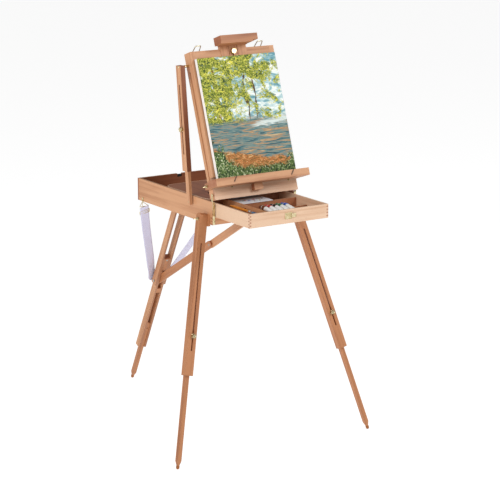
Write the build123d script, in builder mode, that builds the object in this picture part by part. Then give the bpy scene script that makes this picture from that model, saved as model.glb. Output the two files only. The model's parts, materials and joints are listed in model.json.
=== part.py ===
"""A wooden French-style field easel: a sketch box with a drawer on three telescoping legs, with a
tilting canvas holder hinged to its front edge. Millimetres, +Z up, the artist stands on the -Y side."""

from build123d import *
import os
from math import acos, atan2, cos, degrees, hypot, radians, sin, tan

# ---- driving dimensions -------------------------------------------------------------------------
box_level = 870.0        # underside of the sketch box above the floor
box_width = 376.0
box_length = 560.0
box_height = 88.0
wall = 10.0              # side and rear boards of the box
front_rail_height = 29.0
front_rail_depth = 12.0
floor_board = 5.0
slide_gap = 0.5          # clearance between wooden parts that slide
fit_gap = 0.05           # radial clearance of a pin in its hole

drawer_width = 350.0
drawer_height = 53.0
drawer_length = 330.0
drawer_open = 235.0      # how far the drawer front stands out of the box
drawer_board = 8.0
drawer_bottom = 4.0
store_x = 84.0           # fore-and-aft drawer divider, left of the middle
store_y = 200.0          # cross divider behind the drawer front
tube_level = 27.0        # rests of the paint tubes and the brush above the drawer's underside
brush_level = 39.0

palette_thickness = 4.0
palette_length = 335.0
palette_front = 42.0     # palette's front edge behind the box front

lid_lean = 19.2          # degrees back from upright
lid_width = 371.0
lid_length = 562.0
lid_depth = 45.0         # front to back of the side rails
lid_rail = 20.0
hinge_back = 0.0         # hinge axis behind the box front
hinge_up = 26.0          # hinge axis above the box top
hinge_inset = 22.0       # hinge axis behind the front of the side rails
hinge_rise = 20.0        # hinge axis above the foot of the side rails
lower_panel_height = 84.0
lower_panel_recess = 9.0
hinge_tab = 2.0          # brass sheet of the hinge straps
bolt_radius = 3.0
lower_panel_thickness = 8.0
top_rail_height = 37.0
back_panel_thickness = 4.0

tray_width = 416.0
tray_height = 28.0
tray_reach = 56.0        # tray front ahead of the side rails
tray_cheek = 14.0        # arms of the tray outside the side rails
tray_bolt_up = 12.0      # tray wing nuts above the underside of the tray
tray_bolt_y = 4.0        # and behind the hinge axis
tray_foot = 44.0         # underside of the tray above the foot of the side rails
canvas_width = 348.0
canvas_height = 456.0
canvas_depth = 17.0

mast_left = 53.0         # mast edges from the middle of the lid
mast_right = 62.0
mast_thickness = 16.0
mast_length = 300.0
head_width = 164.0
head_height = 31.0
head_depth = 50.0
head_rise = 572.0        # underside of the mast head above the foot of the side rails
mast_knob_down = 12.0     # clamping knob below the top of the lid
head_reach = 63.0        # front of the mast head ahead of the side rails
bail_lean = 57.0         # degrees forward of the lid's own plane

brace_side = -1          # the one brace stands on the left
brace_foot_back = 146.0  # lower brace screw behind the box front
brace_foot_down = 22.0   # lower brace screw below the box top
brace_head_rise = 514.0  # upper brace bolt above the foot of the side rails
brace_splay = 2.3        # degrees outward
brace_width = 19.5
brace_depth = 34.0
brace_length = 400.0
brace_wall = 6.0
brace_slot_start = 66.0  # below the upper brace bolt, as the next two
brace_slot_end = 330.0
brace_knob_down = 235.0
stick_length = 322.0

leg_width = 34.0
leg_depth = 28.0
leg_front_wall = 10.7
inner_leg = 16.8
leg_splay = 14.26        # degrees outward, front legs
leg_rake = 12.26         # degrees forward, front legs
leg_bolt_back = 39.0     # front leg bolt behind the box front
leg_bolt_up = 12.0       # front leg bolt above the box underside
leg_wedge_thin = 6.8     # leg wedge thickness at the bolt
leg_length = 586.0       # bolt to the lower end of the outer front leg
leg_top = 24.0           # outer leg above its bolt
leg_slot_start = 90.0
leg_slot_end = 493.0
leg_slot_width = 6.2
leg_knob_at = 438.0
foot_radius = 6.5
foot_taper = 31.0

rear_pivot_back = 535.0  # rear leg bolt behind the box front
rear_pivot_down = 18.0   # rear leg bolt below the box underside
rear_rake = 26.8         # degrees back from upright
rear_length = 772.0      # bolt to the lower end of the rear leg's rails
rear_rail = 8.3          # the two long rails of the lower rear leg
fork_rail = 7.7          # the two boards of the fork that carries it
fork_end = 430.0
rear_web = 9.0
rear_depth = 30.0
rear_block_start = 292.0
rear_block_end = 352.0
rear_web_start = 431.0
rear_bridge_start = 450.0
rear_channel_start = 472.0
rear_knob_at = 668.0
strut_on_leg = 415.0     # lower strut bolt below the rear leg bolt
strut_foot_back = 66.0   # upper strut bolt behind the box front
strut_foot_down = 16.0   # upper strut bolt below the box underside
strut_upper = 291.0      # upper strut bolt to the knuckle
strut_width = 30.0
strut_thickness = 7.6

handle_half = 46.0       # arms of the carry handle from the middle
handle_drop = 24.0
strap_width = 38.0

# ---- places worked out from them ----------------------------------------------------------------
top = box_height
inside = box_width / 2 - wall
drawer_floor = front_rail_height + slide_gap
handle_level = top - handle_drop
strap_hook = Vector(-box_width / 2 - 3.2, 519, box_level - 6)
brace_x = box_width / 2 + 3.2
box_frame = Plane((0, 0, box_level))
drawer_frame = Plane((0, -drawer_open, box_level + drawer_floor))

lean = radians(lid_lean)
lid_frame = Plane(
    (0, hinge_back, box_level + top + hinge_up), x_dir=(1, 0, 0), z_dir=(0, sin(lean), cos(lean))
)
lid_front = -hinge_inset
lid_foot = -hinge_rise
lid_back = lid_front + lid_depth
rail_outer = lid_width / 2

pieces = {}


def keep(name, piece):
    """Files a finished piece under the name it is exported with."""
    piece.label = name
    pieces[name] = piece


def slab(low, high, mode=Mode.ADD):
    """A block between two corners, in the frame of the part being built."""
    with Locations(tuple((a + b) / 2 for a, b in zip(low, high))):
        Box(*[b - a for a, b in zip(low, high)], mode=mode)


TURNS = {"x": (0, 90, 0), "y": (90, 0, 0), "z": (0, 0, 0)}


def rod(middle, axis, radius, length, mode=Mode.ADD):
    """A round bar, or with Mode.SUBTRACT a round hole, along one axis of the part's frame."""
    with Locations(middle):
        Cylinder(radius, length, rotation=TURNS[axis], mode=mode)


def finger_rows(low, height, count):
    """Middles and height of the fingers of one finger joint."""
    pitch = height / (2 * count + 1)
    return [low + (2 * i + 1.5) * pitch for i in range(count)], pitch


# ---- sketch box ---------------------------------------------------------------------------------
def box_walls():
    rows, pitch = finger_rows(0, front_rail_height, 2)
    for name, side in (("box_left_wall", -1), ("box_right_wall", 1)):
        middle = side * (box_width - wall) / 2
        with BuildPart(box_frame) as board:
            slab((middle - wall / 2, front_rail_depth, 0), (middle + wall / 2, box_length - wall, top))
            slab((middle - wall / 2, 0, front_rail_height), (middle + wall / 2, front_rail_depth, top))
            for row in rows:
                slab(
                    (middle - wall / 2, 0, row - pitch / 2),
                    (middle + wall / 2, front_rail_depth, row + pitch / 2),
                )
            if side == brace_side:
                hole = (middle + side * wall / 4, brace_foot_back, top - brace_foot_down)
                rod(hole, "x", 2.0, wall / 2, Mode.SUBTRACT)
        keep(name, board.part)
    with BuildPart(box_frame) as rear:
        slab((-box_width / 2, box_length - wall, 0), (box_width / 2, box_length, top))
        slab((-11, box_length - wall, top - 14), (11, box_length, top), Mode.SUBTRACT)
    keep("box_rear_wall", rear.part)
    with BuildPart(box_frame) as rail:
        slab((-box_width / 2, 0, 0), (box_width / 2, front_rail_depth, front_rail_height))
        for side in (-1, 1):
            middle = side * (box_width - wall) / 2
            for row in rows:
                slab(
                    (middle - wall / 2, 0, row - pitch / 2),
                    (middle + wall / 2, front_rail_depth, row + pitch / 2),
                    Mode.SUBTRACT,
                )
    keep("box_front_rail", rail.part)


def box_inside():
    with BuildPart(box_frame) as floor:
        slab((-inside, front_rail_depth, 0), (inside, box_length - wall, floor_board))
    keep("box_floor", floor.part)

    divider_back = drawer_length + 20
    ledge_top = top - palette_thickness
    with BuildPart(box_frame) as runners:
        for side in (-1, 1):
            edge = side * inside
            ends = sorted((edge, edge - side * 24))
            slab((ends[0], front_rail_depth, floor_board), (ends[1], divider_back, front_rail_height))
            ends = sorted((edge, edge - side * (inside - drawer_width / 2 - slide_gap)))
            slab((ends[0], palette_front, ledge_top - 9), (ends[1], divider_back, ledge_top))
        slab((-inside, divider_back, floor_board), (inside, divider_back + 8, ledge_top))
    keep("box_fillets", runners.part)

    half = inside - slide_gap
    with BuildPart() as palette:
        with BuildSketch(box_frame.offset(ledge_top)):
            with Locations((0, palette_front + palette_length / 2)):
                RectangleRounded(2 * half, palette_length, 48)
            with Locations((-0.55 * half, palette_front + 0.3 * palette_length)):
                Ellipse(17, 24, mode=Mode.SUBTRACT)
        extrude(amount=palette_thickness)
    keep("palette", palette.part)


def box_brass():
    """Brass straps on the front ends of the side walls, with the tabs and pins that carry the lid."""
    with BuildPart(box_frame) as straps:
        for side in (-1, 1):
            outer = side * box_width / 2
            wide = sorted((outer, side * inside))
            slab((wide[0], -hinge_tab, 1), (wide[1], 0, top))
            thin = sorted((outer, outer - side * hinge_tab))
            slab((thin[0], -hinge_tab, top), (thin[1], hinge_back + 7, top + hinge_up + 4))
            rod((outer + side, hinge_back, top + hinge_up), "x", 5.5, 2)
            rod((outer - side * 6, hinge_back, top + hinge_up), "x", bolt_radius, 12)
            if side == brace_side:
                shank = brace_x - box_width / 2 + brace_width - brace_wall - 2.5 + wall / 2
                screw = (outer + side * (shank - wall) / 2, brace_foot_back, top - brace_foot_down)
                rod(screw, "x", 2, shank)
            lug = sorted((side * (handle_half + 4.8), side * (handle_half + 9)))
            slab((lug[0], box_length, handle_level - 7), (lug[1], box_length + 14, handle_level + 7))
            rod((side * (handle_half + 2), box_length + 8, handle_level), "x", 2.4, 12)
        slab((strap_hook.X + 1.2, strap_hook.Y - 5, 0), (-box_width / 2, strap_hook.Y + 5, 16))
        rod((strap_hook.X, strap_hook.Y, -5), "z", 1.2, 26)
    keep("box_brass", straps.part)


# ---- drawer and what lies in it -----------------------------------------------------------------
def drawer_walls():
    half = drawer_width / 2
    rows, pitch = finger_rows(0, drawer_height, 4)
    with BuildPart(drawer_frame) as front:
        slab((-half, 0, 0), (half, drawer_board, drawer_height))
        for side in (-1, 1):
            middle = side * (half - drawer_board / 2)
            for row in rows:
                slab(
                    (middle - drawer_board / 2, 0, row - pitch / 2),
                    (middle + drawer_board / 2, drawer_board, row + pitch / 2),
                    Mode.SUBTRACT,
                )
    keep("drawer_front", front.part)

    with BuildPart(drawer_frame) as sides:
        for side in (-1, 1):
            middle = side * (half - drawer_board / 2)
            edges = (middle - drawer_board / 2, middle + drawer_board / 2)
            slab((edges[0], drawer_board, 0), (edges[1], drawer_length, drawer_height))
            for row in rows:
                slab((edges[0], 0, row - pitch / 2), (edges[1], drawer_board, row + pitch / 2))
        clear = half - drawer_board
        slab((-clear, drawer_length - drawer_board, 0), (clear, drawer_length, drawer_height))
    keep("drawer_sides", sides.part)

    with BuildPart(drawer_frame) as bottom:
        slab((-clear, drawer_board, 3), (clear, drawer_length - drawer_board, 3 + drawer_bottom))
    keep("drawer_bottom", bottom.part)
    deck = 3 + drawer_bottom
    with BuildPart(drawer_frame) as dividers:
        slab((-store_x - 4, drawer_board, deck), (-store_x, drawer_length - drawer_board, drawer_height - 4))
        slab((-store_x, store_y, deck), (clear, store_y + 5, drawer_height - 9))
        for y in (60, 160):
            slab((-clear, y, deck), (-store_x - 4, y + 6, brush_level))
        for y in (66, 128):
            slab((-store_x, y, deck), (clear, y + 4, tube_level))
    keep("drawer_dividers", dividers.part)


hasp_x = -6.0
hasp_pin_x = 9.0


def hasp():
    """A brass hasp on the drawer front: a screwed plate and a leaf that swings about an upright pin."""
    low, high = 17.0, 41.0
    with BuildPart(drawer_frame) as plate:
        slab((hasp_x - 14, -1.6, low), (hasp_pin_x - 2.8, 0, high))
        rod((hasp_pin_x, -2.4, (low + high) / 2), "z", 1.2, high - low)
        for z in (low, high):
            inward = 4 if z == low else -4
            slab((hasp_pin_x - 3.4, -2.4, min(z, z + inward)), (hasp_pin_x, -0.2, max(z, z + inward)))
    keep("hasp_plate", plate.part)
    with BuildPart(drawer_frame) as leaf:
        rod((hasp_pin_x, -2.4, (low + high) / 2), "z", 2.1, high - low - 9)
        slab((hasp_pin_x, -2.9, low + 4.5), (hasp_pin_x + 19, -1.3, high - 4.5))
        rod((hasp_pin_x, -2.4, (low + high) / 2), "z", 1.2 + fit_gap, high - low, Mode.SUBTRACT)
    keep("hasp_leaf", leaf.part)


def drawer_contents():
    clear = drawer_width / 2 - drawer_board
    back = drawer_length - drawer_board
    with BuildPart(drawer_frame) as sheet:
        slab((-store_x + 2, store_y - 2, drawer_height - 9), (60, back - 14, drawer_height - 6.5))
        for x in (-store_x + 2, 54):
            slab((x, store_y + 7, 3 + drawer_bottom), (x + 6, back - 14, drawer_height - 9))
    keep("mixing_tray", sheet.part)

    with BuildPart(drawer_frame) as tubes:
        for i in range(5):
            middle = (-26 + i * 24, 100, tube_level + 9.3)
            rod(middle, "y", 9.3, 84)
            rod((middle[0], middle[1] + 50, middle[2]), "y", 7.5, 16)
    keep("paint_tubes", tubes.part)

    brush_x = -(clear + store_x) / 2
    with BuildPart(drawer_frame) as brush:
        rod((brush_x, 135, brush_level + 5), "y", 5, 150)
        slab((brush_x - 9, 16, brush_level + 1), (brush_x + 9, 60, brush_level + 8))
    keep("brush", brush.part)


# ---- lid: the canvas holder ---------------------------------------------------------------------
def lid_rails():
    height = lid_length
    panel_back = lid_front + lower_panel_recess + lower_panel_thickness
    with BuildPart(lid_frame) as rails:
        for side in (-1, 1):
            xs = sorted((side * rail_outer, side * (rail_outer - lid_rail)))
            slab((xs[0], lid_front, lid_foot), (xs[1], lid_back, lid_foot + height))
            slab(
                (xs[0], lid_front, lid_foot),
                (xs[1], panel_back, lid_foot + lower_panel_height),
                Mode.SUBTRACT,
            )
            groove = sorted((side * rail_outer, side * (rail_outer - 5)))
            slab(
                (groove[0], tray_bolt_y - bolt_radius - 0.1, lid_foot + tray_foot + tray_bolt_up - 4),
                (groove[1], tray_bolt_y + bolt_radius + 0.1, lid_foot + 490),
                Mode.SUBTRACT,
            )
            rod((side * rail_outer, 0, 0), "x", bolt_radius + fit_gap, 2 * lid_rail, Mode.SUBTRACT)
        foot_edges = rails.edges().filter_by(Axis(lid_frame.origin, lid_frame.x_dir))
        foot_edges = foot_edges.group_by(Axis((0, 0, 0), lid_frame.z_dir))[0]
        back_edges = foot_edges.group_by(Axis((0, 0, 0), lid_frame.y_dir))[-1]
        chamfer(back_edges, 10)
    keep("lid_rails", rails.part)


def lid_boards():
    clear = rail_outer - lid_rail
    head = lid_foot + lid_length
    with BuildPart(lid_frame) as top_rail:
        slab((-clear, lid_front, head - top_rail_height), (clear, lid_back, head))
        slab(
            (-mast_left - slide_gap, lid_front, head - top_rail_height),
            (mast_right + slide_gap, mast_back + slide_gap, head),
            Mode.SUBTRACT,
        )
        rod((0, 0, head - mast_knob_down), "y", bolt_radius + fit_gap, 2 * lid_depth, Mode.SUBTRACT)
    keep("lid_top_rail", top_rail.part)

    with BuildPart(lid_frame) as panel:
        slab(
            (-clear, lid_back - 8, lid_foot + lower_panel_height),
            (clear, lid_back - 8 + back_panel_thickness, head - top_rail_height),
        )
        for x in (-clear / 3, clear / 3):
            slab(
                (x - 15, lid_back - 20, lid_foot + lower_panel_height),
                (x + 15, lid_back - 8, head - top_rail_height),
            )
    keep("lid_back_panel", panel.part)

    front = lid_front + lower_panel_recess
    with BuildPart(lid_frame) as lower:
        slab(
            (-box_width / 2 + 2.5, front, lid_foot),
            (box_width / 2 - 2.5, front + lower_panel_thickness, lid_foot + lower_panel_height - 1),
        )
    keep("lid_lower_panel", lower.part)


def pull_block():
    """A wooden block on the lower panel, to lift the lid by."""
    front = lid_front + lower_panel_recess
    middle = lid_foot + 30
    with BuildPart(lid_frame) as block:
        slab((-19, front - 20, middle - 13), (19, front, middle + 13))
        fillet(block.edges().filter_by(Axis(lid_frame.origin, lid_frame.y_dir)), 4)
    keep("pull_block", block.part)


mast_front = lid_front - 2.0
mast_back = mast_front + mast_thickness


def mast():
    foot = lid_foot + head_rise - mast_length
    low = lid_foot + head_rise
    with BuildPart(lid_frame) as board:
        slab((-mast_left, mast_front, foot), (mast_right, mast_back, low))
        slab((-3.1, mast_front, foot + 30), (3.1, mast_back, low - 14), Mode.SUBTRACT)
        for x in (-18, 20):
            slab((x, mast_front, foot), (x + 2.5, mast_front + 3, low), Mode.SUBTRACT)
    keep("mast", board.part)

    front = lid_front - head_reach
    with BuildPart(lid_frame) as jaw:
        slab((-head_width / 2, front, low), (head_width / 2, front + head_depth, low + head_height))
        slab((-mast_left, front + head_depth, low), (mast_right, mast_back, low + 22))
        slab((-12, mast_back - 22, low + 22), (46, mast_back, low + head_height + 10))
        slab((head_width / 2 - 24, front, low), (head_width / 2, front + head_depth, low + 7), Mode.SUBTRACT)
    keep("mast_head", jaw.part)

    grip = lid_foot + lid_length - mast_knob_down
    knob(lid_frame, (0, mast_front, grip), "mast_knob", mast_thickness + 20, 11)


def knob(frame, at, name, reach, radius, facing=-1):
    """A turned brass thumb knob with its threaded stud, on a face that looks along the frame's y."""
    x, y, z = at
    with BuildPart(frame) as part:
        rod((x, y + facing * 3.4, z), "y", radius * 0.72, 5.6)
        rod((x, y + facing * 9.2, z), "y", radius, 6)
        fillet(part.edges().filter_by(GeomType.CIRCLE).sort_by(Axis((0, 0, 0), frame.y_dir * facing))[-1], 2)
        rod((x, y - facing * reach / 2 + facing * 2, z), "y", 3, reach)
    keep(name, part.part)


def latch_bails():
    """Two wire latch loops on top of the lid, each a bent wire that swings on its own ends."""
    wire, reach = 1.5, 31.0
    lean_on = radians(bail_lean)
    forward = lid_frame.z_dir * cos(lean_on) - lid_frame.y_dir * sin(lean_on)
    rest = lid_frame.origin + lid_frame.z_dir * (lid_foot + lid_length + wire + 0.3) + lid_frame.y_dir * 4
    frame = Plane(rest, x_dir=(1, 0, 0), z_dir=forward)
    for name, middle in (("latch_bail_left", -146), ("latch_bail_right", 129)):
        with BuildPart(frame) as bail:
            rod((middle, 0, 0), "x", wire, 32)
            for x in (middle - 14.5, middle + 14.5):
                rod((x, 0, reach / 2), "z", wire, reach)
            rod((middle, 0, reach), "x", wire, 32)
        keep(name, bail.part)


# ---- canvas tray and canvas ---------------------------------------------------------------------
def tray():
    """A ledge bar across the side rails, with two arms that are clamped to the rails' outer faces."""
    low = lid_foot + tray_foot
    front = lid_front - tray_reach
    arm = rail_outer + 2.8
    with BuildPart(lid_frame) as ledge:
        slab((-tray_width / 2, front, low), (tray_width / 2, lid_front - 0.4, low + tray_height))
        slab(
            (-rail_outer, front + 16, low + tray_height - 5),
            (rail_outer, front + 34, low + tray_height),
            Mode.SUBTRACT,
        )
        for side in (-1, 1):
            xs = sorted((side * arm, side * (arm + tray_cheek)))
            slab((xs[0], lid_front - 1, low), (xs[1], tray_bolt_y + 14, low + tray_height - 4))
            hole = (side * (arm + 7), tray_bolt_y, low + tray_bolt_up)
            rod(hole, "x", bolt_radius + fit_gap, 60, Mode.SUBTRACT)
    keep("tray", ledge.part)

    with BuildPart(lid_frame) as hooks:
        for x in (-118, 138):
            rod((x, front - 1.6, low + tray_height / 2 + 2), "z", 1.6, tray_height - 6)
            rod((x, front + 6.4, low + tray_height + 1.6), "y", 1.6, 18.2)
    keep("tray_hooks", hooks.part)

    for name, side in (("tray_wing_nut_left", -1), ("tray_wing_nut_right", 1)):
        face = side * (arm + tray_cheek + 0.4)
        with BuildPart(lid_frame) as nut:
            rod((face + side * 4, tray_bolt_y, low + tray_bolt_up), "x", 5, 8)
            wings = sorted((face + side * 5, face + side * 8))
            slab(
                (wings[0], tray_bolt_y - 13, low + tray_bolt_up - 2),
                (wings[1], tray_bolt_y + 13, low + tray_bolt_up + 2),
            )
            stud = tray_cheek + 7
            rod((face - side * stud / 2, tray_bolt_y, low + tray_bolt_up), "x", bolt_radius, stud)
        keep(name, nut.part)


def canvas():
    low = lid_foot + tray_foot + tray_height + 2.6
    back = lid_front - 0.5 - 2
    bar = 38.0
    half = canvas_width / 2
    with BuildPart(lid_frame) as stretcher:
        slab((-half, back - canvas_depth, low), (half, back, low + canvas_height))
        slab(
            (-half + bar, back - canvas_depth + 1.5, low + bar),
            (half - bar, back, low + canvas_height - bar),
            Mode.SUBTRACT,
        )
    keep("canvas", stretcher.part)


# ---- brace --------------------------------------------------------------------------------------
brace_foot = Vector(0, brace_foot_back, box_level + top - brace_foot_down)
brace_head = lid_frame.origin + lid_frame.z_dir * (lid_foot + brace_head_rise) + lid_frame.y_dir * 6
brace_flat = (brace_head - brace_foot).normalized()
brace_reach = (brace_head - brace_foot).length / cos(radians(brace_splay))


def brace_plane(side):
    """Frame of a brace at its lower screw: x along the screw, but square to the brace, z up the brace."""
    up = (brace_flat + Vector(side * tan(radians(brace_splay)), 0, 0)).normalized()
    origin = brace_foot + Vector(side * brace_x, 0, 0)
    return Plane(origin, x_dir=Vector(up.Z, 0, -up.X).normalized(), z_dir=up)


def brace():
    """A square stick screwed to the box, in a channel that is clamped to it by a knob."""
    channel = brace_width - brace_wall
    half = brace_depth / 2 - brace_wall
    low = brace_reach + 5 - brace_length
    knob_z = brace_reach - brace_knob_down
    side = brace_side
    frame = brace_plane(side)
    far = side * brace_width
    lining = side * channel
    with BuildPart(frame) as outer:
        xs = sorted((0, far))
        slab((xs[0], -brace_depth / 2, low), (xs[1], brace_depth / 2, brace_reach + 5))
        hollow = sorted((0, lining))
        slab((hollow[0], -half, low), (hollow[1], half, brace_reach - 24), Mode.SUBTRACT)
        web = sorted((lining, far))
        slab(
            (web[0], -2.9, brace_reach - brace_slot_end),
            (web[1], 2.9, brace_reach - brace_slot_start),
            Mode.SUBTRACT,
        )
    keep("brace_channel_left", outer.part)

    screw = Plane(brace_foot, x_dir=(0, 1, 0), z_dir=(1, 0, 0))
    with BuildPart(frame) as stick:
        xs = sorted((side * 0.8, lining - side * slide_gap))
        slab((xs[0], -half + slide_gap, -10), (xs[1], half - slide_gap, stick_length - 10))
        rod(((xs[0] + xs[1]) / 2, 0, knob_z), "x", 2.6 + fit_gap, 30, Mode.SUBTRACT)
        with BuildSketch(screw.offset(side * box_width / 2 - 30)):
            Circle(2.0 + fit_gap)
        extrude(amount=60, mode=Mode.SUBTRACT)
    keep("brace_stick_left", stick.part)

    with BuildPart(frame) as grip:
        rod((far + side * 3.4, 0, knob_z), "x", 6.5, 5.6)
        rod((far + side * 8.6, 0, knob_z), "x", 9, 5)
        rod((far - side * 6.4, 0, knob_z), "x", 2.6, 14.5)
    keep("brace_knob_left", grip.part)


# ---- legs ---------------------------------------------------------------------------------------
def leg_plane(side):
    """Frame of a front leg at its bolt: x along the bolt, y back, z up the leg."""
    up = Vector(-side * tan(radians(leg_splay)), tan(radians(leg_rake)), 1).normalized()
    bolt = Vector(up.Z, 0, -up.X).normalized()
    on_wall = Vector(side * box_width / 2, leg_bolt_back, box_level + leg_bolt_up)
    middle = on_wall + bolt * side * (leg_wedge_thin + 0.4 + leg_width / 2)
    return Plane(middle, x_dir=bolt, z_dir=up)


def outer_leg(frame, name):
    half = leg_width / 2
    hollow = inner_leg / 2 + slide_gap / 2
    with BuildPart(frame) as leg:
        slab((-half, -leg_depth / 2, -leg_length), (half, leg_depth / 2, leg_top))
        crown = leg.edges().filter_by(Axis(frame.origin, frame.x_dir))
        crown = crown.sort_by(Axis((0, 0, 0), frame.z_dir))[-2:]
        fillet(crown, leg_depth / 2 - 0.5)
        slab(
            (-hollow, -leg_depth / 2 + leg_front_wall, -leg_length),
            (hollow, leg_depth / 2, -leg_slot_start + 20),
            Mode.SUBTRACT,
        )
        slab(
            (-leg_slot_width / 2, -leg_depth / 2, -leg_slot_end),
            (leg_slot_width / 2, leg_depth / 2, -leg_slot_start),
            Mode.SUBTRACT,
        )
        rod((0, 0, 0), "x", bolt_radius + fit_gap, leg_width, Mode.SUBTRACT)
    keep(name, leg.part)


def inner_leg_piece(frame, name, back, tip_z, top_z, knob_z):
    """The square inner leg, with its taper, and its rubber foot; back is its middle in y."""
    half = inner_leg / 2
    with BuildPart(frame) as leg:
        slab((-half, back - half, tip_z + foot_taper), (half, back + half, top_z))
        crown = leg.edges().filter_by(Axis(frame.origin, frame.x_dir))
        fillet(crown.sort_by(Axis((0, 0, 0), frame.z_dir))[-2:], half - 1)
        start = Plane(
            frame.origin + frame.z_dir * (tip_z + foot_taper) + frame.y_dir * back,
            x_dir=frame.x_dir,
            z_dir=-frame.z_dir,
        )
        with BuildSketch(start):
            Rectangle(inner_leg, inner_leg)
        with BuildSketch(start.offset(foot_taper - 2 * foot_radius)):
            Circle(foot_radius - 1)
        loft()
        rod((0, back, knob_z), "y", bolt_radius + fit_gap, 2 * inner_leg, Mode.SUBTRACT)
    keep(name, leg.part)

    with BuildPart(frame) as foot:
        rod((0, back, tip_z + 1.5 * foot_radius), "z", foot_radius, foot_radius)
        with Locations((0, back, tip_z + foot_radius)):
            Sphere(foot_radius)
    keep(name.replace("inner", "foot"), foot.part)


def wing_screw(frame, name, side):
    face = side * (leg_width / 2 + 0.4)
    inner = -side * (leg_width / 2 + 0.4 + leg_wedge_thin - 1)
    with BuildPart(frame) as screw:
        rod((face + side * 3, 0, 0), "x", 5.5, 6)
        slab((face + side * 5 - 2, -14, -2), (face + side * 5 + 2, 14, 2))
        rod(((face + inner) / 2, 0, 0), "x", 3, abs(face - inner))
    keep(name, screw.part)


def front_legs():
    for word, side in (("left", -1), ("right", 1)):
        frame = leg_plane(side)
        outer_leg(frame, f"front_leg_{word}")
        back = leg_depth / 2 - inner_leg / 2 - 0.2
        reach = foot_reach(frame, back)
        inner_leg_piece(frame, f"inner_leg_{word}", back, -reach, -leg_knob_at + 22, -leg_knob_at)
        knob(frame, (0, -leg_depth / 2, -leg_knob_at), f"leg_knob_{word}", leg_front_wall + 14, 8.5)
        wing_screw(frame, f"leg_wing_screw_{word}", side)


def foot_reach(frame, back):
    """Distance down the leg to the foot's tip, so that its rounded end just rests on the floor."""
    centre_level = (frame.origin + frame.y_dir * back).Z
    return (centre_level - foot_radius) / frame.z_dir.Z + foot_radius


def leg_mounts():
    """Wedges between the box and the splayed legs, and the blocks that the rear leg and strut hang from."""
    reach_up, reach_down, half_long = 26.0, 18.0, 24.0
    with BuildPart() as mounts:
        for side in (-1, 1):
            frame = leg_plane(side)
            wall_x = side * box_width / 2
            face = frame.origin - frame.x_dir * side * (leg_width / 2 + 0.4)
            slope = frame.x_dir.Z / frame.x_dir.X
            levels = (box_level + leg_bolt_up - reach_down, box_level + leg_bolt_up + reach_up)
            with BuildSketch(Plane((0, leg_bolt_back - half_long, 0), x_dir=(1, 0, 0), z_dir=(0, 1, 0))):
                with BuildLine():
                    Polyline(
                        (wall_x, -levels[0]),
                        (face.X - (levels[0] - face.Z) * slope, -levels[0]),
                        (face.X - (levels[1] - face.Z) * slope, -levels[1]),
                        (wall_x, -levels[1]),
                        close=True,
                    )
                make_face()
            extrude(amount=2 * half_long)
            bolt = Plane(frame.origin, x_dir=frame.y_dir, z_dir=frame.x_dir)
            with BuildSketch(bolt.offset(-60)):
                Circle(bolt_radius + fit_gap)
            extrude(amount=120, mode=Mode.SUBTRACT)
    keep("leg_wedges", mounts.part)

    with BuildPart(box_frame) as blocks:
        for side in (-1, 1):
            xs = sorted((side * (fork_half + 0.6), side * (fork_half + 11)))
            slab((xs[0], rear_pivot_back - 18, -rear_pivot_down - 10), (xs[1], rear_pivot_back + 18, 0))
            xs = sorted((side * (strut_thickness + 1.2), side * (strut_thickness + 9)))
            slab((xs[0], strut_foot_back - 16, -strut_foot_down - 10), (xs[1], strut_foot_back + 16, 0))
        rod((0, rear_pivot_back, -rear_pivot_down), "x", bolt_radius, 2 * fork_half + 18)
        rod((0, strut_foot_back, -strut_foot_down), "x", bolt_radius, 2 * strut_thickness + 14)
    keep("underside_brackets", blocks.part)


# ---- rear leg and its folding strut -------------------------------------------------------------
rear_half = leg_width / 2
fork_half = rear_half + fork_rail
rear_up = Vector(0, -sin(radians(rear_rake)), cos(radians(rear_rake)))
rear_frame = Plane(
    (0, rear_pivot_back, box_level - rear_pivot_down), x_dir=(1, 0, 0), z_dir=rear_up
)
strut_foot = Vector(0, strut_foot_back, box_level - strut_foot_down)
strut_end = rear_frame.origin - rear_up * strut_on_leg
strut_length = (strut_end - strut_foot).length
strut_frame = Plane(strut_foot, x_dir=(1, 0, 0), z_dir=(strut_foot - strut_end).normalized())


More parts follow.
